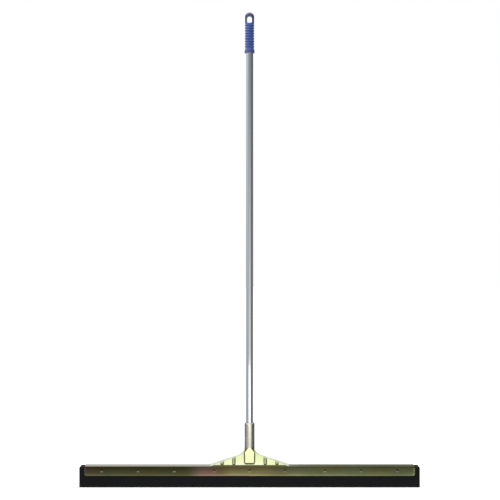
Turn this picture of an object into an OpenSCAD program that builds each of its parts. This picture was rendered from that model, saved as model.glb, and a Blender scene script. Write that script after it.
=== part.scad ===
// Floor squeegee: two rubber strips in a folded steel frame, a pressed socket bracket and a long tube handle.
// X runs along the strips, the front faces -Y and Z is up.
// The origin is on the floor, midway between the strips, under the handle's axis.

/* [Rubber strips] */
// Length of each strip
blade_length = 1000; // [600:10:1200]
// Height of each strip
blade_height = 60; // [50:1:80]
// Thickness of each strip
blade_thickness = 10; // [8:0.5:14]
// Room between the two strips, which the spreader fills
blade_gap = 12; // [8:0.5:20]
// Radius of each strip's upper corners
blade_corner_radius = 3.5; // [2:0.5:10]
// How far the strips stand out of the frame at each end
blade_overhang = 15; // [5:1:30]

/* [Frame] */
// Thickness of the frame's sheet
frame_sheet = 1.2; // [0.8:0.1:1.8]
// Height of the frame from the lower edge of its lips to the top of its roof
frame_height = 26.5; // [25:0.5:40]
// Inside radius of the folds along the roof
frame_fold_radius = 1.2; // [0.6:0.1:2]
// Width of the flared lip along the lower edges and ends of the side plates
lip_height = 5; // [3:0.5:6]
// How far each lip flares outwards
lip_flare = 2.5; // [1:0.25:3.5]
// Radius of the lower corners at the frame's ends
frame_corner_radius = 7; // [7:0.5:12]
// Slit between each end lip and the fold above it
end_slit = 1; // [0.5:0.1:2]
// Thickness of the spreader's sheet
spreader_sheet = 1; // [0.8:0.1:1.5]
// How far the spreader stops short of the frame's ends
spreader_inset = 5; // [2:1:20]
// How far the spreader's edges stop above the frame's lips
spreader_short = 2; // [0:0.5:6]

/* [Teeth] */
// Width of each lanced tooth at its root
tooth_width = 10; // [6:0.5:13]
// Length of each lanced tooth
tooth_length = 9.5; // [7:0.5:11]
// Width of each tooth at its blunt tip
tooth_tip = 2; // [1:0.5:4]
// Angle by which each tooth is bent into the rubber
tooth_bend = 20; // [18:1:35]
// Distance between the three teeth under the bracket
middle_tooth_pitch = 104; // [80:1:125]
// Distance from the outer tooth under the bracket to the next one
side_tooth_gap = 117; // [90:1:140]
// Distance between the teeth beside the bracket
side_tooth_pitch = 106.5; // [80:0.5:140]
// Least distance from a tooth's middle to the frame's end
tooth_end_room = 30; // [20:1:50]

/* [Socket bracket] */
// Thickness of the bracket's sheet
bracket_sheet = 1.5; // [1:0.1:2]
// Width of the bracket from tip to tip
bracket_span = 230; // [190:2:280]
// How far the skirt laps down over the frame's folds
skirt_lap = 1.2; // [0.5:0.1:2]
// Height above the roof at which the wings start to lean in
skirt_rise = 5.5; // [2:0.5:6]
// Slope of the wings' upper edges
shoulder_angle = 18.7; // [14:0.1:24]
// Radius at which the upper edges sweep into the socket
flare_radius = 25; // [15:1:32]
// Depth of the wings where they meet the socket
wing_top_depth = 12; // [9:0.5:18]
// Height of the socket's mouth above the frame's roof
socket_height = 126; // [110:1:170]
// Inside radius of the socket's rolled mouth
mouth_bend_radius = 1.5; // [0.5:0.1:1.8]

/* [Boss and ribs] */
// Room on each side between the handle tube and the boss's front panel edge
boss_side_room = 2.5; // [1:0.5:4]
// How far the boss's lower end stands in front of the wings
boss_rise = 4; // [2:0.5:7]
// Height of the boss's lower edge above the wings' crease
boss_foot_rise = 4.5; // [4:0.5:10]
// Height of the boss's peak above the start of the sweep into the socket
boss_peak_rise = 4; // [0:0.5:8]
// Height of the boss's gable
boss_gable = 16; // [10:0.5:20]
// Radius of the boss's corners
boss_corner_radius = 1.5; // [1:0.5:6]
// Draft angle of the boss's walls
boss_draft = 10; // [6:1:30]
// Distance from the middle to the first rib
rib_start = 46; // [36:0.5:52]
// Distance between the ribs on a wing
rib_pitch = 34.5; // [26:0.5:45]
// Width of each rib
rib_width = 9; // [7:0.5:11]
// How far each rib stands out of the wing
rib_rise = 2.5; // [1.5:0.1:3]

/* [Bush and screw] */
// Wall of the plastic bush
bush_wall = 2.2; // [1.5:0.1:4]
// Length of the bush
bush_length = 60; // [40:1:66]
// Width of the slots in the bush
bush_slot_width = 2; // [1:0.5:4]
// Diameter of the lock screw's shank
screw_diameter = 4.8; // [3:0.1:6]
// Diameter of the lock screw's head
screw_head_diameter = 9; // [7:0.5:11]
// Height of the lock screw's head
screw_head_height = 2.8; // [2.2:0.1:3.5]

/* [Handle] */
// Outside diameter of the tube
tube_diameter = 22; // [18:0.5:28]
// Wall of the tube
tube_wall = 1; // [0.8:0.1:2]
// Length of the tube
tube_length = 1300; // [900:10:1500]
// Thickness of the end plug's flange
plug_flange = 2; // [1:0.5:4]
// Length of the end plug inside the tube
plug_length = 18; // [10:1:30]

/* [Grip] */
// Length of tube that the grip covers
grip_cover = 85.5; // [60:0.5:120]
// Wall of the grip at the foot of its grooves
grip_wall = 1.3; // [1:0.1:3]
// How far the grip's ribs stand out
grip_rib_rise = 1; // [0.5:0.1:2]
// Distance between the grip's ribs
grip_rib_pitch = 7.85; // [6:0.05:12]
// Radius of each grip rib's rounded crest
grip_rib_radius = 3.2; // [2.2:0.1:3.5]
// Height of the collar at the grip's lower end
collar_height = 15; // [8:0.5:20]
// How far the collar stands out past the grooves
collar_rise = 1.8; // [1.2:0.1:3]
// Thickness of the grip's web above the tube's end
grip_web = 2; // [1.5:0.5:5]
// Width of the hanging hole
hole_width = 14.6; // [10:0.2:16]
// Height of the hanging hole
hole_height = 23; // [18:0.5:30]
// Radius of the hanging hole's lower corners
hole_corner_radius = 4; // [2:0.5:5]
// Thickness of the bar over the hanging hole
loop_bar = 9.4; // [6:0.2:12]
// Depth of the hanging loop from front to back
loop_depth = 20; // [14:0.5:24]
// Radius of the loop's upper edges at the front and back
loop_edge_radius = 5; // [2:0.5:6]

/* [Clearances] */
// Gap between pieces that are seated on each other
seat_gap = 0.1; // [0.05:0.05:0.2]
// Gap between the sliding tube and the bush
slide_gap = 0.2; // [0.1:0.05:0.3]
// Gap between moving pieces that stay clear of each other
running_gap = 0.3; // [0.3:0.05:0.5]
// Gap between the tube and the socket's rolled mouth
mouth_gap = 0.5; // [0.4:0.1:1]
// Width of the cut around each lanced tooth
lance_gap = 0.3; // [0.1:0.1:0.5]
// Room around each tooth in the rubber
tooth_room = 0.3; // [0.1:0.1:0.5]

/* [Hidden] */

$fn = 96;
// Facets of the rounded corners that are blended
blend_facets = 32;
// Thickness of the slabs that a blend runs between
sliver = 0.01;
// Extra length of cutting shapes
overcut = 1;

// Frame levels and depths
roof_top = blade_height + seat_gap + frame_sheet;
roof_under = roof_top - frame_sheet;
lip_bottom = roof_top - frame_height;
lip_top = lip_bottom + lip_height;
frame_length = blade_length - 2 * blade_overhang;
frame_inner = blade_gap / 2 + blade_thickness + seat_gap;
frame_outer = frame_inner + frame_sheet;
fold_outer_radius = frame_fold_radius + frame_sheet;
fold_bottom = roof_top - fold_outer_radius;
lip_lap = frame_sheet / 2;

// Teeth stand in the middle of the side plates' flat stretch
tooth_root = (lip_top + fold_bottom - tooth_length) / 2;
tooth_rise = tooth_length * cos(tooth_bend);
tooth_reach = tooth_length * sin(tooth_bend);
tooth_lap = frame_sheet / 2;
first_side_tooth = middle_tooth_pitch + side_tooth_gap;
last_tooth = frame_length / 2 - tooth_end_room;
side_teeth = [for (x = [first_side_tooth : side_tooth_pitch : last_tooth]) x];
tooth_places = concat([0, middle_tooth_pitch, -middle_tooth_pitch], side_teeth, -side_teeth);

// Handle levels and radii
tube_radius = tube_diameter / 2;
plug_bottom = roof_top + running_gap;
tube_bottom = plug_bottom + plug_flange;
tube_top = tube_bottom + tube_length;

// Socket and wings
bush_bore = tube_radius + slide_gap;
bush_outer = bush_bore + bush_wall;
socket_bore = bush_outer + seat_gap;
socket_outer = socket_bore + bracket_sheet;
mouth_top = roof_top + socket_height;
mouth_outer_radius = mouth_bend_radius + bracket_sheet;
bracket_half = bracket_span / 2;
skirt_outer = frame_outer + seat_gap + bracket_sheet;
skirt_bottom = roof_top - skirt_lap;
crease = roof_top + skirt_rise;
tip_top = roof_top + seat_gap + bracket_sheet / cos(shoulder_angle);
corner_height = tip_top + (bracket_half - socket_outer) * tan(shoulder_angle);
flare_x = socket_outer + flare_radius;
flare_z = corner_height - flare_radius * tan(shoulder_angle) + flare_radius / cos(shoulder_angle);
wing_lean = atan((skirt_outer - wing_top_depth / 2) / (flare_z - crease));

// Boss
boss_foot = crease + boss_foot_rise;
boss_peak = flare_z + boss_peak_rise;
boss_half_width = tube_radius + boss_side_room;
boss_lean = atan((wing_depth(boss_foot) + boss_rise - socket_outer) / (boss_peak - boss_foot));
boss_length = (boss_peak - boss_foot) / cos(boss_lean);
boss_shoulder = boss_gable / cos(boss_lean);
boss_peak_radius = bracket_sheet + seat_gap;
boss_depth = socket_outer - wing_top_depth / 4;
socket_foot = boss_peak - boss_gable - boss_corner_radius;

// Ribs
rib_radius = (pow(rib_width / 2, 2) + pow(rib_rise, 2)) / (2 * rib_rise);
rib_end = bracket_half - rib_width - 2 * bracket_sheet;

// Bush and screw
bush_top = mouth_top - bracket_sheet - seat_gap;
bush_bottom = bush_top - bush_length;
bush_slot_length = bush_length / 2 - screw_diameter;
bush_slots = 3;
screw_height = bush_top - bush_length / 3;
screw_radius = screw_diameter / 2;
screw_hole = screw_radius + seat_gap;
recess_width = screw_diameter / 4;
recess_depth = screw_head_height / 2;

// Grip
grip_bore = tube_radius + seat_gap;
groove_radius = grip_bore + grip_wall;
crest_radius = groove_radius + grip_rib_rise;
loop_radius = groove_radius + grip_rib_rise / 2;
collar_radius = groove_radius + collar_rise;
collar_chamfer = collar_rise / 2;
collar_band = collar_height / 4;
grip_bottom = tube_top - grip_cover;
hole_bottom = tube_top + grip_web;
hole_top = hole_bottom + hole_height;
grip_top = hole_top + loop_bar;
first_crest = grip_bottom + collar_height + grip_rib_pitch / 2;
last_crest = tube_top - grip_rib_pitch / 4;

// Outside half depth of the wings at a height
function wing_depth(z, inset = 0) = skirt_outer - inset / cos(wing_lean) - (z - crease) * tan(wing_lean);

// Draws an outline in Y and Z along X
module along_x(length) {
    rotate([90, 0, 90]) linear_extrude(length, center = true) children();
}

// Draws an outline in X and Z along Y
module along_y(length) {
    rotate([90, 0, 0]) linear_extrude(length, center = true) children();
}

module both_sides() {
    children();
    mirror([0, 1, 0]) children();
}

module both_ends() {
    children();
    mirror([1, 0, 0]) children();
}

// Upright outline with rounded upper corners
module arch(half_width, bottom, top, radius) {
    translate([-half_width, bottom]) square([2 * half_width, top - radius - bottom]);
    translate([-half_width + radius, bottom]) square([2 * (half_width - radius), top - bottom]);
    for (side = [-1, 1])
        translate([side * (half_width - radius), top - radius]) circle(radius);
}

// Side outline of the frame's outside
module frame_envelope(gap = 0) {
    arch(frame_outer + gap, lip_top - gap, roof_top + gap, fold_outer_radius + gap);
}

// Front view of a bent tooth, with its root on the X axis
module tooth_outline(room) {
    root = tooth_width / 2 + room;
    tip = tooth_tip / 2 + room;
    polygon([
        [-root, -tooth_lap - room], [root, -tooth_lap - room], [root, 0],
        [tip, tooth_rise + room], [-tip, tooth_rise + room], [-root, 0]
    ]);
}

// Side view of a front tooth, leaning into the rubber above its root
module tooth_profile(room) {
    foot = tooth_root - tooth_lap - room;
    tip = tooth_root + tooth_rise + room;
    polygon([
        [-frame_outer - room, foot], [-frame_inner + room, foot], [-frame_inner + room, tooth_root],
        [-frame_inner + tooth_reach + room, tip], [-frame_outer + tooth_reach - room, tip],
        [-frame_outer - room, tooth_root]
    ]);
}

module teeth(room) {
    for (x = tooth_places)
        translate([x, 0, 0]) intersection() {
            along_x(2 * tooth_width) tooth_profile(room);
            translate([0, 0, tooth_root]) along_y(4 * frame_outer) tooth_outline(room);
        }
}

// Windows that the lanced front teeth leave in the side plate
module tooth_windows() {
    root = tooth_width / 2 + lance_gap;
    tip = tooth_tip / 2 + lance_gap;
    for (x = tooth_places)
        translate([x, -frame_outer, tooth_root]) along_y(2 * frame_sheet + overcut)
            polygon([[-root, 0], [root, 0], [tip, tooth_length], [-tip, tooth_length]]);
}

module frame_profile() {
    difference() {
        frame_envelope();
        arch(frame_inner, lip_top - overcut, roof_under, frame_fold_radius);
    }
}

// Front view of the frame inside its lips, with the folded roof at full length
module frame_outline() {
    plate_half = frame_length / 2 - lip_height;
    corner = frame_corner_radius - lip_height;
    inner_half = plate_half - corner;
    translate([-frame_length / 2, fold_bottom]) square([frame_length, fold_outer_radius + overcut]);
    translate([-plate_half, lip_top + corner]) square([2 * plate_half, fold_bottom - lip_top]);
    translate([-inner_half, lip_top]) square([2 * inner_half, fold_bottom - lip_top]);
    for (side = [-1, 1])
        translate([side * inner_half, lip_top + corner]) circle(corner);
}

// Section of a lip that flares outwards from the edge of a side plate
module lip_section() {
    polygon([
        [-lip_lap, 0], [0, 0], [lip_height, lip_flare], [lip_height, lip_flare + frame_sheet],
        [0, frame_sheet], [-lip_lap, frame_sheet]
    ]);
}

// Lip along the front plate's lower edge, round its lower corners and up its ends
module front_lip() {
    corner_x = frame_length / 2 - frame_corner_radius;
    corner_z = lip_bottom + frame_corner_radius;
    translate([0, -frame_inner, lip_top]) along_x(2 * corner_x) mirror([0, 1]) rotate(90) lip_section();
    both_ends() {
        translate([corner_x, -frame_inner, corner_z]) rotate([90, 0, 0]) rotate([0, 0, -90])
            rotate_extrude(angle = 90) translate([frame_corner_radius - lip_height, 0]) lip_section();
        translate([frame_length / 2 - lip_height, -frame_inner, corner_z])
            linear_extrude(fold_bottom - end_slit - corner_z) mirror([0, 1]) lip_section();
    }
}

module frame_channel() {
    color("darkkhaki") {
        difference() {
            intersection() {
                along_x(frame_length) frame_profile();
                along_y(2 * (frame_outer + overcut)) frame_outline();
            }
            both_sides() tooth_windows();
        }
        both_sides() {
            front_lip();
            teeth(0);
        }
    }
}

module blade_spreader() {
    outer = blade_gap / 2 - seat_gap;
    edge = lip_bottom + spreader_short;
    color("silver") along_x(frame_length - 2 * spreader_inset) difference() {
        arch(outer, edge, roof_under, 2 * spreader_sheet);
        arch(outer - spreader_sheet, edge - overcut, roof_under - spreader_sheet, spreader_sheet);
    }
}

module blade_outline() {
    inner_half = blade_length / 2 - blade_corner_radius;
    translate([-blade_length / 2, 0]) square([blade_length, blade_height - blade_corner_radius]);
    translate([-inner_half, 0]) square([2 * inner_half, blade_height]);
    for (side = [-1, 1])
        translate([side * inner_half, blade_height - blade_corner_radius]) circle(blade_corner_radius);
}

// Side view of the front strip, bevelled where it lies in the frame's fold
module blade_profile() {
    inner = -blade_gap / 2;
    outer = inner - blade_thickness;
    bevel = frame_fold_radius;
    polygon([
        [outer, 0], [inner, 0], [inner, blade_height],
        [outer + bevel, blade_height], [outer, blade_height - bevel]
    ]);
}

module front_blade() {
    color("dimgray") difference() {
        intersection() {
            along_x(blade_length) blade_profile();
            along_y(4 * frame_outer) blade_outline();
        }
        teeth(tooth_room);
    }
}

module rear_blade() {
    mirror([0, 1, 0]) front_blade();
}

// Front view of the wings, drawn in by the sheet for their hollow
module wing_outline(inset) {
    bottom = skirt_bottom - inset;
    tip = bracket_half - inset;
    column = socket_outer - inset;
    radius = flare_radius + inset;
    drop = inset / cos(shoulder_angle);
    tip_edge = corner_height - drop - (tip - socket_outer) * tan(shoulder_angle);
    column_edge = corner_height - drop + inset * tan(shoulder_angle);
    sweep_foot = [flare_x - radius * sin(shoulder_angle), flare_z - radius * cos(shoulder_angle)];
    polygon([
        [-tip, bottom], [tip, bottom], [tip, tip_edge], [column, column_edge],
        [-column, column_edge], [-tip, tip_edge]
    ]);
    translate([-column, bottom]) square([2 * column, mouth_top - bottom]);
    both_ends() difference() {
        polygon([[column, column_edge], [column, flare_z], [flare_x, flare_z], sweep_foot]);
        translate([flare_x, flare_z]) circle(radius);
    }
}

// Side view of the wings, upright at the skirt and leaning in above the crease
module wing_profile(inset) {
    bottom = skirt_bottom - inset;
    skirt = skirt_outer - inset;
    top = wing_depth(flare_z, inset);
    bend = crease - inset * tan(wing_lean / 2);
    polygon([
        [-skirt, bottom], [skirt, bottom], [skirt, bend],
        [top, flare_z], [-top, flare_z], [-skirt, bend]
    ]);
}

module wings(inset) {
    intersection() {
        along_y(2 * (skirt_outer + overcut)) wing_outline(inset);
        along_x(bracket_span + overcut) wing_profile(inset);
    }
}

// Upright ferrule with a rolled mouth, as a solid of revolution
module ferrule(inset) {
    radius = socket_outer - inset;
    top = mouth_top - inset;
    bend = mouth_outer_radius - inset;
    rotate_extrude() {
        translate([0, socket_foot]) square([radius, top - bend - socket_foot]);
        translate([0, socket_foot]) square([radius - bend, top - socket_foot]);
        translate([radius - bend, top - bend]) circle(bend);
    }
}

// Thin house-shaped slab of the boss, grown at a depth behind its front panel
module boss_slab(grow, depth) {
    corner = max(boss_corner_radius + grow, sliver);
    corner_x = boss_half_width + grow - corner;
    foot = corner - grow - boss_length;
    for (x = [-corner_x, corner_x], z = [foot, -boss_shoulder])
        translate([x, depth, z]) rotate([-90, 0, 0])
            cylinder(h = sliver, r = corner, $fn = blend_facets);
    translate([0, depth, -boss_peak_radius]) rotate([-90, 0, 0])
        cylinder(h = sliver, r = boss_peak_radius + grow, $fn = blend_facets);
}

// Boss that blends the flat wings into the round socket round the handle's lower end
module boss(inset) {
    wall = inset / cos(boss_draft);
    intersection() {
        along_y(2 * (skirt_outer + boss_rise + overcut)) wing_outline(inset);
        translate([0, -socket_outer, boss_peak]) rotate([-boss_lean, 0, 0]) hull() {
            boss_slab(inset * tan(boss_draft) - wall, inset);
            boss_slab(boss_depth * tan(boss_draft) - wall, boss_depth);
        }
    }
}

// Stiffening ribs that run up the front of the wings from sloped feet on the crease to the rim
module ribs(inset) {
    radius = rib_radius - inset;
    intersection() {
        along_y(2 * (skirt_outer + rib_rise + overcut)) wing_outline(inset);
        both_ends() for (x = [rib_start : rib_pitch : rib_end])
            translate([x, -skirt_outer, crease]) rotate([-wing_lean, 0, 0])
                translate([0, rib_radius - rib_rise, inset]) {
                    cylinder(h = rib_rise, r1 = radius - rib_rise, r2 = radius);
                    translate([0, 0, rib_rise]) cylinder(h = flare_z - crease, r = radius);
                }
    }
}

module bracket_form(inset) {
    wings(inset);
    ferrule(inset);
    boss(inset);
    ribs(inset);
}

// Front pressing: the outer form less the same form drawn in by the sheet, cut at the seam
module front_pressing() {
    size = 2 * bracket_span;
    difference() {
        bracket_form(0);
        bracket_form(bracket_sheet);
        along_x(size) frame_envelope(seat_gap);
        translate([0, 0, roof_top]) cylinder(h = socket_height + overcut, r = tube_radius + mouth_gap);
        translate([-size / 2, 0, 0]) cube(size);
    }
}

// Hole for the lock screw through the back of the socket
module screw_bore() {
    translate([0, 0, screw_height]) rotate([-90, 0, 0]) cylinder(h = 2 * socket_outer, r = screw_hole);
}

module bracket_front() {
    color("khaki") front_pressing();
}

module bracket_rear() {
    color("khaki") difference() {
        mirror([0, 1, 0]) front_pressing();
        screw_bore();
    }
}

module socket_bush() {
    color("dimgray") difference() {
        rotate_extrude() polygon([
            [bush_bore, bush_bottom], [bush_outer, bush_bottom], [bush_outer, bush_top - mouth_bend_radius],
            [bush_outer - mouth_bend_radius, bush_top], [bush_bore, bush_top]
        ]);
        for (turn = [0 : bush_slots - 1])
            rotate([0, 0, 30 + turn * 360 / bush_slots])
                translate([0, -bush_slot_width / 2, bush_bottom - overcut])
                    cube([2 * bush_outer, bush_slot_width, bush_slot_length + overcut]);
        screw_bore();
    }
}

// Pan-head screw whose tip stops just short of the tube
module lock_screw() {
    head_radius = screw_head_diameter / 2;
    head_round = screw_head_height / 2;
    tip = tube_radius + running_gap - socket_outer - seat_gap;
    color("silver") translate([0, socket_outer + seat_gap, screw_height]) rotate([-90, 0, 0]) difference() {
        rotate_extrude() {
            translate([0, tip]) square([screw_radius, screw_head_height - tip]);
            square([head_radius, screw_head_height - head_round]);
            square([head_radius - head_round, screw_head_height]);
            translate([head_radius - head_round, screw_head_height - head_round]) circle(head_round);
        }
        for (turn = [0, 90])
            rotate([0, 0, turn])
                translate([-screw_radius, -recess_width / 2, screw_head_height - recess_depth])
                    cube([screw_diameter, recess_width, screw_head_height]);
    }
}

module handle_tube() {
    color("gainsboro") translate([0, 0, tube_bottom]) difference() {
        cylinder(h = tube_length, r = tube_radius);
        translate([0, 0, -overcut]) cylinder(h = tube_length + 2 * overcut, r = tube_radius - tube_wall);
    }
}

// Ribbed plug with a flange that closes the tube's lower end
module tube_plug() {
    fit_radius = tube_radius - tube_wall - seat_gap;
    core_radius = fit_radius - tube_wall;
    rib_height = plug_length / 6;
    color("dimgray") translate([0, 0, plug_bottom]) {
        cylinder(h = plug_flange, r = tube_radius);
        cylinder(h = plug_flange + plug_length, r = core_radius);
        for (level = [1 : 2 : 5])
            translate([0, 0, plug_flange + level * rib_height - rib_height / 2])
                cylinder(h = rib_height, r = fit_radius);
    }
}

// Grip as turned: collar, ribs and domed end
module turned_grip() {
    dome = grip_top - loop_radius;
    rotate_extrude() {
        polygon([
            [0, grip_bottom], [collar_radius - collar_chamfer, grip_bottom],
            [collar_radius, grip_bottom + collar_chamfer], [collar_radius, grip_bottom + collar_band],
            [groove_radius, grip_bottom + collar_height], [groove_radius, tube_top],
            [loop_radius, tube_top], [loop_radius, dome], [0, dome]
        ]);
        for (z = [first_crest : grip_rib_pitch : last_crest])
            translate([crest_radius - grip_rib_radius, z]) circle(grip_rib_radius);
        difference() {
            translate([0, dome]) circle(loop_radius);
            translate([-2 * loop_radius, dome - loop_radius]) square([2 * loop_radius, 2 * loop_radius]);
        }
    }
}

// Side view that flattens the front and back of the hanging loop above the tube
module loop_flats() {
    full = collar_radius + overcut;
    half_depth = loop_depth / 2;
    foot = hole_bottom - full + half_depth;
    polygon([
        [-full, grip_bottom - overcut], [full, grip_bottom - overcut], [full, foot],
        [half_depth, hole_bottom], [-half_depth, hole_bottom], [-full, foot]
    ]);
    arch(half_depth, tube_top, grip_top, loop_edge_radius);
}

// Upright hole with a round upper end and rounded lower corners
module hanging_hole() {
    end_radius = hole_width / 2;
    corner_x = end_radius - hole_corner_radius;
    corner_z = hole_bottom + hole_corner_radius;
    middle = hole_top - end_radius;
    translate([-end_radius, corner_z]) square([hole_width, middle - corner_z]);
    translate([-corner_x, hole_bottom]) square([2 * corner_x, middle - hole_bottom]);
    translate([0, middle]) circle(end_radius);
    for (side = [-1, 1])
        translate([side * corner_x, corner_z]) circle(hole_corner_radius);
}

module hanger_grip() {
    color("royalblue") difference() {
        intersection() {
            turned_grip();
            along_x(4 * collar_radius) loop_flats();
        }
        translate([0, 0, grip_bottom - overcut]) cylinder(h = grip_cover + overcut, r = grip_bore);
        along_y(4 * collar_radius) hanging_hole();
    }
}

frame_channel();
blade_spreader();
front_blade();
rear_blade();
bracket_front();
bracket_rear();
socket_bush();
lock_screw();
handle_tube();
tube_plug();
hanger_grip();
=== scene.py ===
"""Floor squeegee: finishes, softened rubber and grip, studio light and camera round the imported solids.

Lengths are in metres and colours are linear.
+Z goes up the handle, +X along the strips, and -Y is the front.
"""
import math

import bmesh
import bpy
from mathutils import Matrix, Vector


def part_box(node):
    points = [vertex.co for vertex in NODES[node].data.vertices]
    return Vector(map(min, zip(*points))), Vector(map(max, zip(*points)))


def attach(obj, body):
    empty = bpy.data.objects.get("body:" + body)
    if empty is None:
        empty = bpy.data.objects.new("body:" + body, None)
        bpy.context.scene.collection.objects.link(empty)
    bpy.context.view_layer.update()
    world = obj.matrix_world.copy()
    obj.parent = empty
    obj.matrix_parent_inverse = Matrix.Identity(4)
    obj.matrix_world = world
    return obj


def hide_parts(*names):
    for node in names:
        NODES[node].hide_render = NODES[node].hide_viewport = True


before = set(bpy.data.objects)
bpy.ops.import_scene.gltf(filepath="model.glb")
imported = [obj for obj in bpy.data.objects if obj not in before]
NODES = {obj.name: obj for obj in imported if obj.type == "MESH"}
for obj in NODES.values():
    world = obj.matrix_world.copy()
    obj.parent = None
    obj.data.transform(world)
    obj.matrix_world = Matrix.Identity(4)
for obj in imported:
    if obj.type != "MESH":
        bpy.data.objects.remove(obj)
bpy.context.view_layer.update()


# Places on the object

FRAME_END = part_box("frame_channel")[1].x
HEM_START = FRAME_END - 0.0052
ROOF_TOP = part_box("frame_channel")[1].z
ROOF_SIDE = 0.0175
FOLD_FOOT = ROOF_TOP - 0.0024
LIP_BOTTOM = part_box("frame_channel")[0].z
LIP_TOP = LIP_BOTTOM + 0.005
CREASE = ROOF_TOP + 0.0055
BOSS_FOOT = ROOF_TOP + 0.010
BOSS_EAVES = ROOF_TOP + 0.036
BOSS_SIDE = 0.0144
RIB_PLACES = (0.046, 0.0805)
RIB_SIDE = 0.0045
SOCKET_FOOT = ROOF_TOP + 0.0447
COLLAR_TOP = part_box("hanger_grip")[0].z + 0.012
LOOP_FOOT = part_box("hanger_grip")[1].z - 0.033

# Radii of the grip, first of the solid and then of the fuller grip that stands for it
GRIP_BORE = 0.0118
SOLID_GROOVE = 0.0124
SOLID_CREST = 0.0134
FULL_GROOVE = 0.0125
FULL_CREST = 0.0143

# Half widths between which the loop swells, and by how much
LOOP_INSIDE = 0.0078
LOOP_OUTSIDE = 0.0110
LOOP_SWELL = 0.0007


# Node helpers

class Nodes:
    """Short ways to add and link the nodes of one tree."""

    def __init__(self, tree):
        self.tree = tree

    def node(self, kind, **settings):
        made = self.tree.nodes.new(kind)
        for key, value in settings.items():
            setattr(made, key, value)
        return made

    def feed(self, socket, value):
        """Links a socket to an output, or sets it to a constant."""
        if isinstance(value, bpy.types.NodeSocket):
            self.tree.links.new(value, socket)
        else:
            socket.default_value = value

    def part(self, vector, letter):
        """The X, Y or Z of a vector."""
        made = self.node("ShaderNodeSeparateXYZ")
        self.feed(made.inputs["Vector"], vector)
        return made.outputs[letter]

    def math(self, operation, first, second=0.0):
        made = self.node("ShaderNodeMath", operation=operation)
        self.feed(made.inputs[0], first)
        self.feed(made.inputs[1], second)
        return made.outputs["Value"]

    def plus(self, first, second):
        return self.math("ADD", first, second)

    def times(self, first, second):
        return self.math("MULTIPLY", first, second)

    def most(self, first, second):
        return self.math("MAXIMUM", first, second)

    def span(self, value, start, end, low=0.0, high=1.0, curve="SMOOTHSTEP"):
        """Low at start and high at end, held beyond them."""
        made = self.node("ShaderNodeMapRange", interpolation_type=curve)
        limits = {"Value": value, "From Min": start, "From Max": end, "To Min": low, "To Max": high}
        for socket, number in limits.items():
            self.feed(made.inputs[socket], number)
        return made.outputs["Result"]

    def blend(self, factor, first, second, mode="MIX"):
        """The first colour where the factor is 0, and where it is 1 the second or their product."""
        made = self.node("ShaderNodeMix", data_type="RGBA", blend_type=mode)
        self.feed(made.inputs["Factor"], factor)
        colours = [socket for socket in made.inputs if socket.type == "RGBA"]
        for socket, value in zip(colours, (first, second)):
            self.feed(socket, value if isinstance(value, bpy.types.NodeSocket) else (*value, 1.0))
        return next(socket for socket in made.outputs if socket.type == "RGBA")


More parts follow.
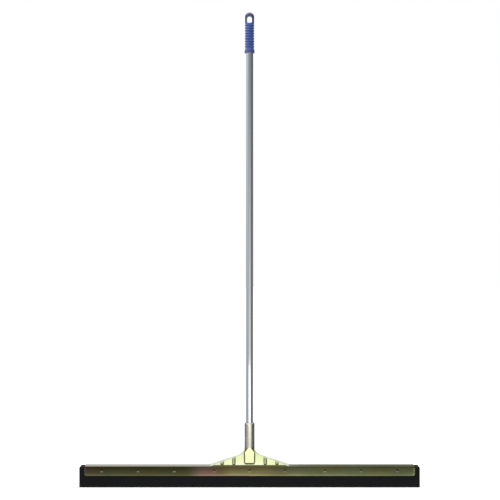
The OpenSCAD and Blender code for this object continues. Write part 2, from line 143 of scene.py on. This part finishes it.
class Finish(Nodes):
    """A node material round one Principled shader, with its patterns sized in metres of the object."""

    def __init__(self, name, **constants):
        self.material = bpy.data.materials.new(name)
        self.material.use_nodes = True
        super().__init__(self.material.node_tree)
        self.shader = self.tree.nodes["Principled BSDF"]
        self.place = self.node("ShaderNodeTexCoord").outputs["Object"]
        for socket, value in constants.items():
            self.set(socket.replace("_", " "), value)

    def set(self, socket, value):
        self.feed(self.shader.inputs[socket], value)

    def along(self, letter):
        """Place along an axis."""
        return self.part(self.place, letter)

    def off(self, letter):
        """Distance from the middle along an axis, either way."""
        return self.math("ABSOLUTE", self.along(letter))

    def from_axis(self):
        """Distance from the handle's axis."""
        flat = self.node("ShaderNodeVectorMath", operation="MULTIPLY")
        self.feed(flat.inputs[0], self.place)
        self.feed(flat.inputs[1], (1, 1, 0))
        made = self.node("ShaderNodeVectorMath", operation="LENGTH")
        self.feed(made.inputs[0], flat.outputs["Vector"])
        return made.outputs["Value"]

    def facing(self, letter):
        """How far the surface faces along an axis, from -1 to 1."""
        return self.part(self.node("ShaderNodeNewGeometry").outputs["Normal"], letter)

    def turned(self, letter):
        """How far the surface faces along an axis, either way, from 0 to 1."""
        return self.math("ABSOLUTE", self.facing(letter))

    def noise(self, size, detail, stretch=(1, 1, 1)):
        """Noise from 0 to 1 in patches about size across, longer along an axis where stretch is under 1."""
        mapping = self.node("ShaderNodeMapping")
        self.feed(mapping.inputs["Vector"], self.place)
        self.feed(mapping.inputs["Scale"], stretch)
        made = self.node("ShaderNodeTexNoise")
        self.feed(made.inputs["Vector"], mapping.outputs["Vector"])
        for socket, value in {"Scale": 1 / size, "Detail": detail, "Roughness": 0.55}.items():
            self.feed(made.inputs[socket], value)
        return made.outputs["Fac"]

    def wander(self, value, size, reach, detail):
        """A value that noise moves by up to half of reach either way."""
        return self.plus(value, self.times(self.math("SUBTRACT", self.noise(size, detail), 0.5), reach))

    def cells(self, size):
        """Distance from the middle of cells about size across."""
        made = self.node("ShaderNodeTexVoronoi")
        self.feed(made.inputs["Vector"], self.place)
        self.feed(made.inputs["Scale"], 1 / size)
        return made.outputs["Distance"]

    def creases(self, reach):
        """1 on open surfaces, less in corners that are closed in within reach."""
        made = self.node("ShaderNodeAmbientOcclusion", samples=16)
        self.feed(made.inputs["Distance"], reach)
        return made.outputs["AO"]

    def band(self, value, rise, full, fade, end):
        """1 between full and fade, falling to 0 at rise and end."""
        return self.times(self.span(value, rise, full), self.span(value, end, fade))

    def line(self, value, place, edges):
        """A band whose four edges are measured from place."""
        return self.band(value, *(place + edge for edge in edges))

    def shade(self, colour, level):
        """A colour times a level."""
        grey = self.node("ShaderNodeCombineColor")
        for socket in grey.inputs[:3]:
            self.feed(socket, level)
        return self.blend(1.0, colour, grey.outputs["Color"], "MULTIPLY")

    def shade_where(self, mask, colour, level):
        """A colour times a level where the mask is 1, and as it was where the mask is 0."""
        return self.shade(colour, self.span(mask, 0.0, 1.0, low=1.0, high=level))

    def bump(self, height, depth):
        made = self.node("ShaderNodeBump")
        self.feed(made.inputs["Strength"], 1.0)
        self.feed(made.inputs["Distance"], depth)
        self.feed(made.inputs["Height"], height)
        self.set("Normal", made.outputs["Normal"])


# Rubber of the strips

RUBBER_DEEP = (0.0048, 0.0049, 0.0058)
RUBBER_LIGHT = (0.0080, 0.0081, 0.0092)
DUST_GREY = (0.020, 0.020, 0.019)
DUST_TOP = 0.009


def rubber_finish():
    """Black cellular rubber: open pores, cloudy skin and a little floor dust along the wiping edge."""
    made = Finish("cellular_rubber", Specular_IOR_Level=0.10)
    black = made.blend(made.noise(size=0.03, detail=5), RUBBER_DEEP, RUBBER_LIGHT)
    specks = made.span(made.noise(size=0.004, detail=6), 0.35, 0.75)
    dust = made.times(made.span(made.along("Z"), DUST_TOP, 0.0), specks)
    made.set("Base Color", made.blend(dust, black, DUST_GREY))
    grain = made.noise(size=0.0012, detail=4)
    made.set("Roughness", made.span(grain, 0.2, 0.8, low=0.62, high=0.85))
    pores = made.span(made.cells(size=0.0011), 0.0, 0.55)
    made.bump(made.plus(pores, made.times(grain, 0.6)), depth=0.00012)
    return made


# Film of the frame, with painted shade, highlights and reflections

# Film hues are the film's own; their darkness and the rise to the bright gold middle are painted reflection
UMBER = (0.070, 0.059, 0.031)
OLIVE = (0.056, 0.060, 0.026)
BLUSH = (0.144, 0.101, 0.080)
ROSE = (0.230, 0.165, 0.128)
GOLD = (0.180, 0.163, 0.070)
MOSS = (0.122, 0.132, 0.062)
PALE_MOSS = (0.097, 0.112, 0.052)
WARM_TINT = (1.12, 0.97, 0.86)
# Painted highlight for the slopes of the outer teeth
TOOTH_HIGHLIGHT = (0.30, 0.31, 0.25)
# Painted reflections on the end hems, at the left and at the right
HEM_LEFT = (0.105, 0.105, 0.095)
HEM_RIGHT = (0.24, 0.26, 0.14)
BARE_DULL = (0.36, 0.35, 0.32)
BARE_BRIGHT = (0.48, 0.47, 0.43)
EDGE_TINT = (0.35, 0.35, 0.33, 1.0)

# Where along the frame a change starts and is full, and for a patch also where it fades and ends
TO_OLIVE = (-0.46, -0.40)
TO_MOSS = (-0.05, 0.12)
TO_PALE_MOSS = (0.18, 0.38)
TO_RIGHT_FOLD = (0.0, 0.15)
TO_RIGHT_HEM = (-0.1, 0.1)
TO_RIGHT_ROOF = (0.02, 0.20)
TO_OUTER_TEETH = (0.12, 0.24)
BLUSH_PATCH = (-0.195, -0.14, -0.11, -0.07)
GOLD_PATCH = (-0.12, -0.05, 0.02, 0.10)
ROSE_PATCH = (-0.15, -0.10, -0.03, 0.02)

# How far up the slopes of the teeth, the rounds of the folds and the flat of the roof face
TOOTH_SLOPE = (0.15, 0.28, 0.60, 0.75)
FOLD_ROUND = (0.10, 0.30, 0.80, 0.95)
ROOF_FLAT = (0.90, 0.99)


def olive_film_and_reflection(made):
    """Chromate film along the frame: umber and olive at the left, a blush, gold at the middle, then moss.
    The hues are the film's own; the film's darkness, and its rise from the dark left to the bright middle,
    are painted reflection.
    """
    x = made.wander(made.along("X"), size=0.16, reach=0.06, detail=2)
    film = made.blend(made.span(x, *TO_OLIVE), UMBER, OLIVE)
    film = made.blend(made.span(x, *TO_MOSS), film, MOSS)
    film = made.blend(made.span(x, *TO_PALE_MOSS), film, PALE_MOSS)
    film = made.blend(made.band(x, *BLUSH_PATCH), film, BLUSH)
    film = made.blend(made.band(x, *GOLD_PATCH), film, GOLD)
    warm = made.blend(1.0, film, WARM_TINT, "MULTIPLY")
    clouds = made.noise(size=0.06, detail=4, stretch=(0.5, 1, 2))
    film = made.blend(made.span(clouds, 0.40, 0.62), film, warm)
    drift = made.noise(size=0.02, detail=4, stretch=(0.25, 1, 1))
    return made.shade(film, made.span(drift, 0.25, 0.75, low=0.88, high=1.12))


def shaded_folds_and_lit_lips(made, film):
    """Painted shade under the folds, fading to a painted highlight on the lips, which also have a rose
    patch.
    """
    x = made.along("X")
    height = made.along("Z")
    under_fold = made.span(x, *TO_RIGHT_FOLD, low=0.62, high=0.74)
    # Painted shade, darkest under the fold and lighter down towards the lip
    film = made.shade(film, made.span(height, FOLD_FOOT, LIP_TOP, low=under_fold, high=1.25))
    lip = made.span(height, LIP_TOP - 0.001, LIP_BOTTOM + 0.001)
    # Painted highlight on the lip
    film = made.shade_where(lip, film, 1.25)
    return made.blend(made.times(lip, made.band(x, *ROSE_PATCH)), film, ROSE)


def lit_teeth(made, film):
    """Painted highlight on the upward slopes of the teeth, greyer on the outer ones."""
    plate = made.band(made.along("Z"), LIP_TOP, LIP_TOP + 0.002, FOLD_FOOT - 0.002, FOLD_FOOT)
    tooth = made.times(made.band(made.facing("Z"), *TOOTH_SLOPE), plate)
    film = made.shade_where(tooth, film, 1.3)
    outer = made.span(made.off("X"), *TO_OUTER_TEETH, low=0.0, high=0.5)
    return made.blend(made.times(tooth, outer), film, TOOTH_HIGHLIGHT)


def hem_reflections(made, film):
    """Paints a reflection on the hem at each end of the frame, darker and greyer at the left."""
    end = made.span(made.off("X"), HEM_START - 0.0006, HEM_START + 0.0006)
    below_roof = made.span(made.along("Z"), ROOF_TOP - 0.001, ROOF_TOP - 0.003)
    tone = made.blend(made.span(made.along("X"), *TO_RIGHT_HEM), HEM_LEFT, HEM_RIGHT)
    return made.blend(made.times(end, below_roof), film, tone)


def painted_fold_shade(made, film):
    """Painted shade on the round of the folds, most at the right."""
    fold = made.times(made.band(made.facing("Z"), *FOLD_ROUND),
                      made.span(made.along("Z"), FOLD_FOOT - 0.001, FOLD_FOOT))
    share = made.span(made.along("X"), *TO_RIGHT_FOLD, low=0.3, high=1.0)
    return made.shade_where(made.times(fold, share), film, 0.45)


def roof_wear_and_shade(made):
    """1 where the roof is rubbed bare, at its left and middle, less along its edges; its fall towards the
    right is painted shade.
    """
    flat = made.span(made.facing("Z"), *ROOF_FLAT)
    left = made.span(made.along("X"), *TO_RIGHT_ROOF, low=1.0, high=0.20)
    inner = made.span(made.off("Y"), ROOF_SIDE - 0.007, ROOF_SIDE - 0.002, low=1.0, high=0.1)
    return made.times(made.times(flat, left), inner)


def frame_finish():
    """Olive chromate on rolled sheet, scratched along its length and rubbed bare on the roof, with painted
    shade, highlights and reflections.
    """
    made = Finish("olive_chromate", Metallic=1.0, Specular_Tint=EDGE_TINT)
    film = olive_film_and_reflection(made)
    for step in (shaded_folds_and_lit_lips, lit_teeth, hem_reflections, painted_fold_shade):
        film = step(made, film)
    scratch = made.noise(size=0.004, detail=6, stretch=(0.05, 1, 1))
    # Bare wear on the roof, which fades to painted shade towards the right
    wear_and_shade = roof_wear_and_shade(made)
    made.set("Base Color", made.blend(wear_and_shade, film, made.blend(scratch, BARE_DULL, BARE_BRIGHT)))
    film_roughness = made.span(scratch, 0.3, 0.7, low=0.24, high=0.36)
    made.set("Roughness", made.plus(film_roughness, made.times(wear_and_shade, 0.24)))
    made.bump(scratch, depth=0.00003)
    return made


# Film of the bracket, with painted shade and a painted reflection

LIME_DEEP = (0.80, 0.86, 0.46)
LIME_PALE = (0.86, 0.90, 0.54)
LEMON = (0.79, 0.86, 0.39)
PALER_LIME = (0.90, 0.92, 0.68)
SOCKET_GREY = (0.74, 0.71, 0.63)
SEAM_BROWN = (0.07, 0.07, 0.04)
CREASE_SHADE = (0.06, 0.07, 0.03)
LINE_SHADE = (0.10, 0.11, 0.05)

# Where a change starts and is full: by height, by distance from the middle, and by distance from the seam
LEMON_HEIGHT = (CREASE + 0.002, CREASE + 0.016)
LEMON_REACH = (0.085, 0.030)
PALER_HEIGHT = (CREASE + 0.010, CREASE + 0.003)
PALER_REACH = (0.055, 0.040)
TIP_REACH = (0.05, 0.10)
SOCKET_HEIGHT = (SOCKET_FOOT, SOCKET_FOOT + 0.020)
SKIRT_HEIGHT = (CREASE + 0.0004, CREASE - 0.0004)
SEAM_LINE = (0.0006, 0.0002)
FLANK_SHADE_SPAN = (0.0062, 0.0132)

# Edges of the painted shade lines, from the side or the foot that they follow
BOSS_SIDE_EDGES = (-0.0020, -0.0010, 0.0002, 0.0012)
BOSS_FOOT_EDGES = (-0.0018, -0.0008, 0.0016, 0.0024)
RIB_SIDE_EDGES = (-0.0016, -0.0006, 0.0002, 0.0012)
RIB_FOOT_EDGES = (-0.0010, 0.0, 0.0022, 0.0040)


def boss_lines(made, reach, height):
    """1 along the sides and the foot of the boss."""
    beside_wall = made.band(height, BOSS_FOOT - 0.002, BOSS_FOOT, BOSS_EAVES, BOSS_EAVES + 0.001)
    sides = made.times(made.line(reach, BOSS_SIDE, BOSS_SIDE_EDGES), beside_wall)
    under_boss = made.span(reach, BOSS_SIDE + 0.0010, BOSS_SIDE)
    foot = made.times(made.line(height, BOSS_FOOT, BOSS_FOOT_EDGES), under_boss)
    return made.most(sides, foot)


def rib_lines(made, reach, height, rib_place):
    """1 along the foot of a pair of ribs, less along their sides, and least along their backs."""
    off = made.math("ABSOLUTE", made.math("SUBTRACT", reach, rib_place))
    sides = made.times(made.line(off, RIB_SIDE, RIB_SIDE_EDGES), 0.75)
    back = made.span(off, RIB_SIDE - 0.0004, RIB_SIDE - 0.0020, low=0.0, high=0.40)
    above_foot = made.span(height, CREASE + 0.002, CREASE + 0.004)
    under_rib = made.span(off, RIB_SIDE + 0.0006, RIB_SIDE - 0.0008)
    foot = made.times(made.line(height, CREASE, RIB_FOOT_EDGES), under_rib)
    return made.most(made.times(made.most(sides, back), above_foot), foot)


def shade_lines(made):
    """Painted shade lines along the boss and the ribs, weaker on faces that don't face the front or the
    back.
    """
    reach = made.off("X")
    height = made.along("Z")
    lines = boss_lines(made, reach, height)
    for rib_place in RIB_PLACES:
        lines = made.most(lines, rib_lines(made, reach, height, rib_place))
    return made.times(lines, made.span(made.turned("Y"), 0.55, 0.75, low=0.6, high=1.0))


def wing_film(made):
    """Film of the wings: yellow near the middle, paler by the crease, darker at the tips, painted shade on
    flanks.
    """
    height = made.along("Z")
    reach = made.off("X")
    film = made.blend(made.noise(size=0.03, detail=3), LIME_DEEP, LIME_PALE)
    yellow = made.times(made.span(height, *LEMON_HEIGHT), made.span(reach, *LEMON_REACH))
    film = made.blend(made.times(yellow, 0.3), film, LEMON)
    near_crease = made.span(height, *PALER_HEIGHT, low=0.0, high=0.6)
    film = made.blend(made.times(near_crease, made.span(reach, *PALER_REACH)), film, PALER_LIME)
    film = made.shade(film, made.span(reach, *TIP_REACH, low=1.0, high=0.93))
    # Painted shade on faces that turn sideways
    return made.shade(film, made.span(made.turned("X"), 0.30, 0.80, low=1.0, high=0.30))


def socket_film(made):
    """Grey of the handled socket, with painted shade on its flanks that deepens towards the seam along a
    wandering edge.
    """
    from_seam = made.wander(made.off("Y"), size=0.018, reach=0.005, detail=3)
    # Painted shade on the flanks, deepening towards the seam
    return made.shade(SOCKET_GREY, made.span(from_seam, *FLANK_SHADE_SPAN, low=0.22, high=1.10))


def bracket_finish():
    """Bright chromate on pressed sheet: grey on the socket, a dark seam, painted shade on upward faces, in
    creases and along the boss and ribs, and a painted dark reflection on the skirt.
    """
    made = Finish("bright_chromate", Metallic=1.0)
    height = made.along("Z")
    upward = made.facing("Z")
    film = made.blend(made.span(height, *SOCKET_HEIGHT), wing_film(made), socket_film(made))
    # Painted shade on faces that look upward
    film = made.shade(film, made.span(upward, 0.70, 0.92, low=1.0, high=0.55))
    film = made.blend(made.span(made.off("Y"), *SEAM_LINE, low=0.0, high=0.8), film, SEAM_BROWN)
    # Painted shade in creases
    film = made.blend(made.span(made.creases(reach=0.005), 0.68, 0.95), CREASE_SHADE, film)
    # Painted shade lines along the boss and the ribs
    film = made.blend(shade_lines(made), film, LINE_SHADE)
    # Painted dark reflection on the skirt, deepest by the roof
    skirt = made.shade(GOLD, made.span(height, ROOF_TOP - 0.0012, CREASE, low=0.55, high=0.95))
    on_skirt = made.times(made.span(height, *SKIRT_HEIGHT), made.span(upward, 0.20, 0.10))
    made.set("Base Color", made.blend(on_skirt, film, skirt))
    grain = made.noise(size=0.002, detail=5)
    made.set("Roughness", made.span(grain, 0.3, 0.7, low=0.24, high=0.34))
    made.bump(grain, depth=0.00002)
    return made


# Tube, plastics and zinc

TUBE_DULL = (0.76, 0.78, 0.81)
TUBE_BRIGHT = (0.84, 0.86, 0.88)
BLUE_DEEP = (0.036, 0.065, 0.240)
BLUE_LIGHT = (0.046, 0.079, 0.280)
LOOP_BLUE = (0.033, 0.042, 0.118)
COLLAR_BLUE = (0.034, 0.053, 0.160)
PLASTIC_DEEP = (0.012, 0.012, 0.013)
PLASTIC_LIGHT = (0.020, 0.020, 0.021)
ZINC_DULL = (0.45, 0.46, 0.47)
ZINC_BRIGHT = (0.62, 0.63, 0.63)


def tube_finish():
    """Bright tube with fine streaks along its length."""
    made = Finish("drawn_aluminium", Metallic=1.0)
    streak = made.noise(size=0.0015, detail=4, stretch=(1, 1, 0.01))
    made.set("Base Color", made.blend(streak, TUBE_DULL, TUBE_BRIGHT))
    made.set("Roughness", made.span(streak, 0.3, 0.7, low=0.09, high=0.17))
    made.bump(streak, depth=0.00002)
    return made


def grip_finish():
    """Blue moulded plastic: painted shade in the grooves and on the loop, greyer on the loop and the collar,
    duller on the loop.
    """
    made = Finish("blue_plastic", Specular_IOR_Level=0.5)
    height = made.along("Z")
    colour = made.blend(made.noise(size=0.01, detail=4), BLUE_DEEP, BLUE_LIGHT)
    # Painted shade in the grooves
    groove = made.span(made.from_axis(), FULL_GROOVE + 0.0002, FULL_CREST - 0.0003, low=0.78, high=1.0)
    colour = made.shade(colour, groove)
    # Painted shade in the loop's corners and on its sides
    loop_colour = made.shade(LOOP_BLUE, made.span(made.creases(reach=0.006), 0.5, 0.9, low=0.5, high=1.0))
    loop_colour = made.shade(loop_colour, made.span(made.turned("X"), 0.40, 0.90, low=1.0, high=0.4))
    loop = made.span(height, LOOP_FOOT, LOOP_FOOT + 0.006)
    colour = made.blend(loop, colour, loop_colour)
    collar = made.span(height, COLLAR_TOP, COLLAR_TOP - 0.006)
    made.set("Base Color", made.blend(collar, colour, COLLAR_BLUE))
    grain = made.noise(size=0.0006, detail=3)
    satin = made.span(grain, 0.2, 0.8, low=0.22, high=0.32)
    made.set("Roughness", made.plus(satin, made.times(loop, 0.18)))
    made.bump(grain, depth=0.00002)
    return made


def dark_plastic_finish():
    """Near-black moulded plastic with a fine grain."""
    made = Finish("dark_plastic", Specular_IOR_Level=0.4)
    made.set("Base Color", made.blend(made.noise(size=0.006, detail=4), PLASTIC_DEEP, PLASTIC_LIGHT))
    grain = made.noise(size=0.0005, detail=3)
    made.set("Roughness", made.span(grain, 0.2, 0.8, low=0.42, high=0.6))
    made.bump(grain, depth=0.00006)
    return made


def zinc_finish():
    """Cloudy zinc plate."""
    made = Finish("zinc_plate", Metallic=1.0)
    cloud = made.noise(size=0.004, detail=5)
    made.set("Base Color", made.blend(cloud, ZINC_DULL, ZINC_BRIGHT))
    made.set("Roughness", made.span(cloud, 0.3, 0.7, low=0.28, high=0.42))
    made.bump(cloud, depth=0.00003)
    return made


# Which finish goes on which CAD node

def dress(name, finish):
    """Gives a CAD node one finish."""
    slots = NODES[name].data.materials
    slots.clear()
    slots.append(finish.material)


rubber = rubber_finish()
olive = frame_finish()
bright = bracket_finish()
drawn = tube_finish()
blue = grip_finish()
dark = dark_plastic_finish()
zinc = zinc_finish()
for node_name, finish in {
    "frame_channel": olive, "blade_spreader": zinc, "front_blade": rubber, "rear_blade": rubber,
    "bracket_front": bright, "bracket_rear": bright, "socket_bush": dark, "lock_screw": zinc,
    "handle_tube": drawn, "tube_plug": dark, "hanger_grip": blue,
}.items():
    dress(node_name, finish)


# Pieces that stand for CAD nodes

SAME_PLACE = 1e-6
RUBBER_ROUND = 0.0007
GRIP_ROUND = 0.0004

# Turns between two faces, in degrees
FLAT_TURN = 1
RUBBER_TURN = 35
GRIP_TURN = 40
SHARP_TURN = 35


def loose_copy(source):
    """Editable copy of a CAD node's mesh, with the facets of its flat faces joined."""
    shape = bmesh.new()
    shape.from_mesh(NODES[source].data)
    shape.transform(NODES[source].matrix_world)
    bmesh.ops.remove_doubles(shape, verts=shape.verts, dist=SAME_PLACE)
    bmesh.ops.dissolve_limit(shape, angle_limit=math.radians(FLAT_TURN), verts=shape.verts,
                             edges=shape.edges)
    return shape


def round_edges(shape, radius, turn):
    """Rounds the edges where the faces turn by more than so many degrees."""
    least = math.radians(turn)
    edges = [edge for edge in shape.edges if edge.is_manifold and edge.calc_face_angle() > least]
    bmesh.ops.bevel(shape, geom=edges, offset=radius, segments=3, profile=0.5, affect="EDGES",
                    clamp_overlap=True)


def stand_in(shape, name, node, body, finish):
    """Puts a shape in the scene in place of a CAD node."""
    mesh = bpy.data.meshes.new(name)
    shape.to_mesh(mesh)
    shape.free()
    mesh.materials.append(finish.material)
    mesh.shade_smooth()
    mesh.set_sharp_from_angle(angle=math.radians(SHARP_TURN))
    piece = bpy.data.objects.new(name, mesh)
    bpy.context.scene.collection.objects.link(piece)
    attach(piece, body)
    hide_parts(node)


def rubber_strip(name, node):
    """Strip with the soft edges that cellular rubber has after cutting."""
    shape = loose_copy(node)
    round_edges(shape, RUBBER_ROUND, RUBBER_TURN)
    stand_in(shape, name, node, "head", rubber)


def ease(value, start, end):
    """0 at start and 1 at end, with a smooth rise between."""
    part = min(max((value - start) / (end - start), 0.0), 1.0)
    return part * part * (3 - 2 * part)


def moulded_grip():
    """Grip with softened edges, fuller ribs round the tube and a fuller loop."""
    shape = loose_copy("hanger_grip")
    round_edges(shape, GRIP_ROUND, GRIP_TURN)
    groove_swell = FULL_GROOVE - SOLID_GROOVE
    crest_swell = FULL_CREST - SOLID_CREST
    for vert in shape.verts:
        place = vert.co
        radius = max(math.hypot(place.x, place.y), SAME_PLACE)
        swell = groove_swell * ease(radius, GRIP_BORE, SOLID_GROOVE)
        swell += (crest_swell - groove_swell) * ease(radius, SOLID_GROOVE, SOLID_CREST)
        on_loop = ease(place.z, LOOP_FOOT - 0.002, LOOP_FOOT + 0.002)
        for axis in (0, 1):
            loop_swell = LOOP_SWELL * ease(abs(place[axis]), LOOP_INSIDE, LOOP_OUTSIDE)
            loop_swell = math.copysign(loop_swell, place[axis])
            place[axis] += place[axis] * swell / radius * (1 - on_loop) + loop_swell * on_loop
    stand_in(shape, "moulded_grip", "hanger_grip", "handle", blue)


rubber_strip("front_strip", "front_blade")
rubber_strip("rear_strip", "rear_blade")
moulded_grip()


# Floor

FLOOR_HALF = 15.0
FLOOR_GLOW = 0.62
FLOOR_DEEP = (0.56, 0.56, 0.56)
FLOOR_PALE = (0.60, 0.60, 0.60)
WHITE = (1.0, 1.0, 1.0)


def pale_floor():
    """White floor under the tool: it glows a little so that it stays even, and mirrors don't see it."""
    mesh = bpy.data.meshes.new("floor")
    corners = [(x * FLOOR_HALF, y * FLOOR_HALF, 0.0) for x, y in ((-1, -1), (1, -1), (1, 1), (-1, 1))]
    mesh.from_pydata(corners, [], [(0, 1, 2, 3)])
    floor = bpy.data.objects.new("floor", mesh)
    bpy.context.scene.collection.objects.link(floor)
    made = Finish("pale_floor", Roughness=0.9, Specular_IOR_Level=0.0, Emission_Color=(*WHITE, 1.0),
                  Emission_Strength=FLOOR_GLOW)
    made.set("Base Color", made.blend(made.noise(size=0.4, detail=3), FLOOR_DEEP, FLOOR_PALE))
    mesh.materials.append(made.material)
    floor.visible_glossy = False


# Light

# Brightness round the tool by angle in degrees: 0 is the front, 90 the right and -90 the left
LOWER_RING = [(-180, 0.9), (-168, 0.55), (-130, 0.42), (-100, 0.40), (-62, 0.38), (-30, 0.56), (-4, 1.00),
              (32, 0.90), (44, 0.50), (54, 0.11), (62, 0.04), (72, 0.10), (86, 0.32), (112, 0.30),
              (145, 0.38), (168, 0.50), (180, 0.9)]
UPPER_RING = [(-180, 1.4), (-165, 1.5), (-150, 0.9), (-130, 0.72), (-100, 0.70), (-62, 0.66), (-30, 0.38),
              (-4, 0.27), (32, 0.23), (54, 0.20), (68, 0.13), (90, 0.12), (112, 0.11), (145, 0.12),
              (158, 0.9), (168, 1.5), (180, 1.4)]
UPPER_TINT = (0.94, 0.98, 1.06)
CEILING_LEFT = (1.9, 1.9, 1.9)
CEILING_RIGHT = (1.3, 1.3, 1.3)

# Where one brightness passes into the next, by the X or the Z of a direction
TO_UPPER_RING_BY_Z = (-0.21, 0.21)
TO_CEILING_BY_Z = (0.30, 0.75)
TO_CEILING_RIGHT_BY_X = (-0.7, 0.7)


class Sky(Nodes):
    """World: two rings of brightness, a bright ceiling, and plain white where the camera looks."""

    def __init__(self):
        world = bpy.data.worlds.new("studio")
        bpy.context.scene.world = world
        world.use_nodes = True
        super().__init__(world.node_tree)
        self.tree.nodes.clear()
        direction = self.node("ShaderNodeTexCoord").outputs["Generated"]
        x, y, z = (self.part(direction, letter) for letter in "XYZ")
        turn = self.ramp(self.math("ARCTAN2", x, self.times(y, -1.0)), -math.pi, math.pi)
        lower = self.ring(turn, LOWER_RING, WHITE)
        upper = self.ring(turn, UPPER_RING, UPPER_TINT)
        rings = self.blend(self.ramp(z, *TO_UPPER_RING_BY_Z), lower, upper)
        ceiling = self.blend(self.ramp(x, *TO_CEILING_RIGHT_BY_X), CEILING_LEFT, CEILING_RIGHT)
        room = self.blend(self.ramp(z, *TO_CEILING_BY_Z), rings, ceiling)
        seen = self.node("ShaderNodeMixShader")
        self.feed(seen.inputs[0], self.node("ShaderNodeLightPath").outputs["Is Camera Ray"])
        self.feed(seen.inputs[1], self.glow(room))
        self.feed(seen.inputs[2], self.glow((*WHITE, 1.0)))
        self.feed(self.node("ShaderNodeOutputWorld").inputs["Surface"], seen.outputs[0])

    def ramp(self, value, start, end):
        """0 at start and 1 at end, in a straight line between."""
        return self.span(value, start, end, curve="LINEAR")

    def ring(self, turn, stops, tint):
        """Tinted brightness by turn, which goes from 0 at -180 degrees to 1 at 180."""
        made = self.node("ShaderNodeValToRGB")
        self.feed(made.inputs["Fac"], turn)
        points = made.color_ramp.elements
        while len(points) < len(stops):
            points.new(1.0)
        for point, (angle, level) in zip(points, stops):
            point.position = (angle + 180) / 360
            point.color = (*(level * part for part in tint), 1)
        return made.outputs["Color"]

    def glow(self, colour):
        made = self.node("ShaderNodeBackground")
        self.feed(made.inputs["Color"], colour)
        self.feed(made.inputs["Strength"], 1.0)
        return made.outputs["Background"]


def soft_light(name, place, target, width, height, watts, colour=WHITE, mirrored=True):
    """Lamp with a rectangular face, which the camera doesn't see."""
    data = bpy.data.lights.new(name, "AREA")
    data.shape = "RECTANGLE"
    data.size = width
    data.size_y = height
    data.energy = watts
    data.color = colour
    lamp = bpy.data.objects.new(name, data)
    bpy.context.scene.collection.objects.link(lamp)
    lamp.location = place
    direction = Vector([end - start for start, end in zip(place, target)])
    lamp.rotation_euler = direction.to_track_quat("-Z", "Y").to_euler()
    lamp.visible_camera = False
    lamp.visible_glossy = mirrored


# Camera

CAMERA_DISTANCE = 2.8
CAMERA_SIDE = 0.0013
CAMERA_HEIGHT = 0.697
VIEW_WIDTH = 1.476
SENSOR_WIDTH_MM = 36.0


def photo_camera():
    """Level camera in front of the tool, with VIEW_WIDTH across the picture at the tool."""
    data = bpy.data.cameras.new("photo_camera")
    data.sensor_width = SENSOR_WIDTH_MM
    data.lens = SENSOR_WIDTH_MM * CAMERA_DISTANCE / VIEW_WIDTH
    camera = bpy.data.objects.new("photo_camera", data)
    bpy.context.scene.collection.objects.link(camera)
    camera.location = (CAMERA_SIDE, -CAMERA_DISTANCE, CAMERA_HEIGHT)
    camera.rotation_euler = (math.pi / 2, 0.0, 0.0)
    bpy.context.scene.camera = camera


pale_floor()
Sky()
soft_light("front_low", place=(0.0, -0.55, 0.18), target=(0.0, 0.0, 0.11), width=0.6, height=0.22,
           watts=0.40)
soft_light("left_high", place=(-0.45, -0.08, 1.78), target=(0.0, 0.0, 1.33), width=0.12, height=0.45,
           watts=10.0, colour=(0.95, 1.0, 0.75), mirrored=False)
photo_camera()
bpy.context.scene.view_settings.view_transform = "Standard"
